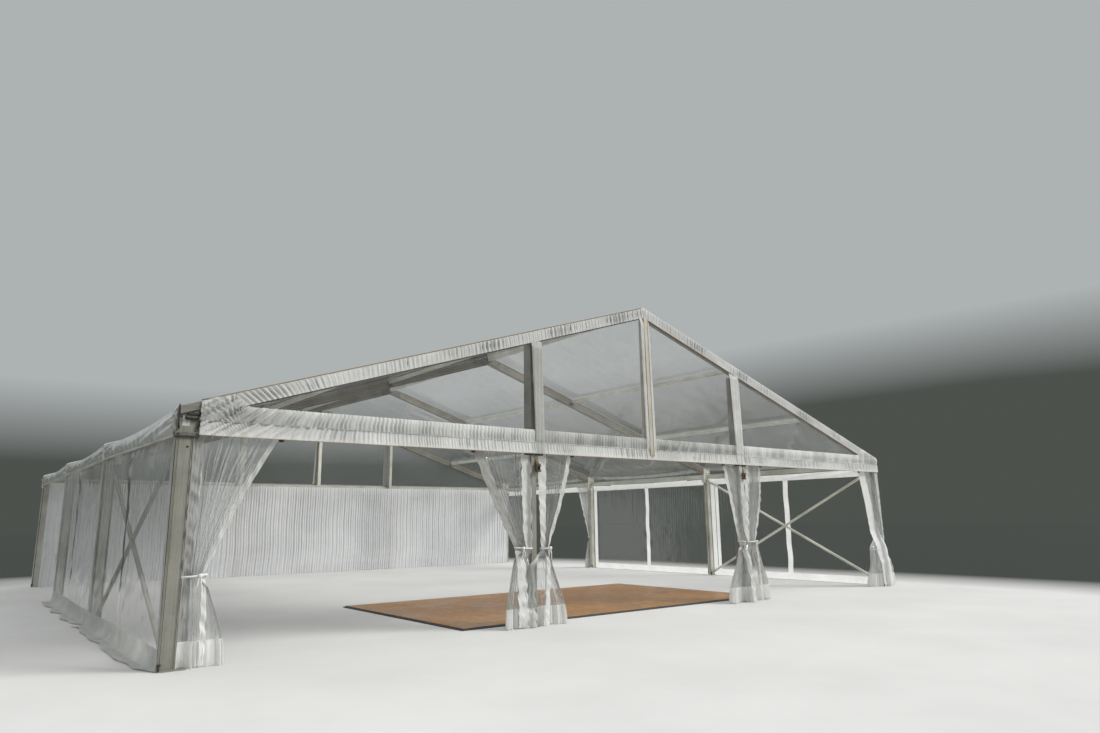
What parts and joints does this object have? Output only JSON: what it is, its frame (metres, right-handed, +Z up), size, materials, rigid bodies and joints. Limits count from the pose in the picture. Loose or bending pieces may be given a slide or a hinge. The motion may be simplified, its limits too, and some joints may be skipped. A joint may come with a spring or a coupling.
{
  "type": "clear-roofed frame marquee",
  "caption": "Clearspan frame marquee with a clear film roof and gables, white gable valances, clear side walls, tied-back curtains, a white rear lining and a parquet dance floor.",
  "frame": {"origin": "on the ground, under the middle of the tent", "axes": "+X across the gable to the right seen from the front, +Y into the tent from the open front gable, +Z up"},
  "size_m": [15.1066, 15.2, 5.28],
  "materials": {
    "aluminium": "weathered mill finish",
    "clear_film": "clear PVC film, glossy, lightly creased",
    "white_fabric": "white coated fabric, gathered",
    "curtain_film": "clear film gathered between white borders",
    "parquet": "oiled parquet panels"
  },
  "bodies": {
    "root": {"back_gable_sheet": "clear_film", "back_king_post": "aluminium", "back_lining": "white_fabric", "back_transom": "aluminium", "back_upright_left": "aluminium", "back_upright_right": "aluminium", "back_valance": "white_fabric", "cross_brace_left": "aluminium", "cross_brace_right": "aluminium", "curtain_2": "curtain_film", "curtain_3": "curtain_film", "curtain_4": "curtain_film", "curtain_5": "curtain_film", "curtain_corner_left": "curtain_film", "curtain_corner_right": "curtain_film", "dance_floor": "parquet", "eave_band_left": "clear_film", "eave_band_right": "clear_film", "eave_beam_left": "aluminium", "eave_beam_right": "aluminium", "front_gable_sheet": "clear_film", "front_king_post": "aluminium", "front_transom": "aluminium", "front_upright_left": "aluminium", "front_upright_right": "aluminium", "front_valance": "white_fabric", "leg_1_left": "aluminium", "leg_1_right": "aluminium", "leg_2_left": "aluminium", "leg_2_right": "aluminium", "leg_3_left": "aluminium", "leg_3_right": "aluminium", "leg_4_left": "aluminium", "leg_4_right": "aluminium", "lower_purlin_left": "aluminium", "lower_purlin_right": "aluminium", "rafter_1_left": "aluminium", "rafter_1_right": "aluminium", "rafter_2_left": "aluminium", "rafter_2_right": "aluminium", "rafter_3_left": "aluminium", "rafter_3_right": "aluminium", "rafter_4_left": "aluminium", "rafter_4_right": "aluminium", "ridge_beam": "aluminium", "roof_sheet_1_left": "clear_film", "roof_sheet_1_right": "clear_film", "roof_sheet_2_left": "clear_film", "roof_sheet_2_right": "clear_film", "roof_sheet_3_left": "clear_film", "roof_sheet_3_right": "clear_film", "side_curtain_left": "curtain_film", "side_curtain_right": "curtain_film", "side_wall_1_left": "clear_film", "side_wall_1_right": "clear_film", "side_wall_2_left": "clear_film", "side_wall_2_right": "clear_film", "upper_purlin_left": "aluminium", "upper_purlin_right": "aluminium"}
  },
  "joints": []
}
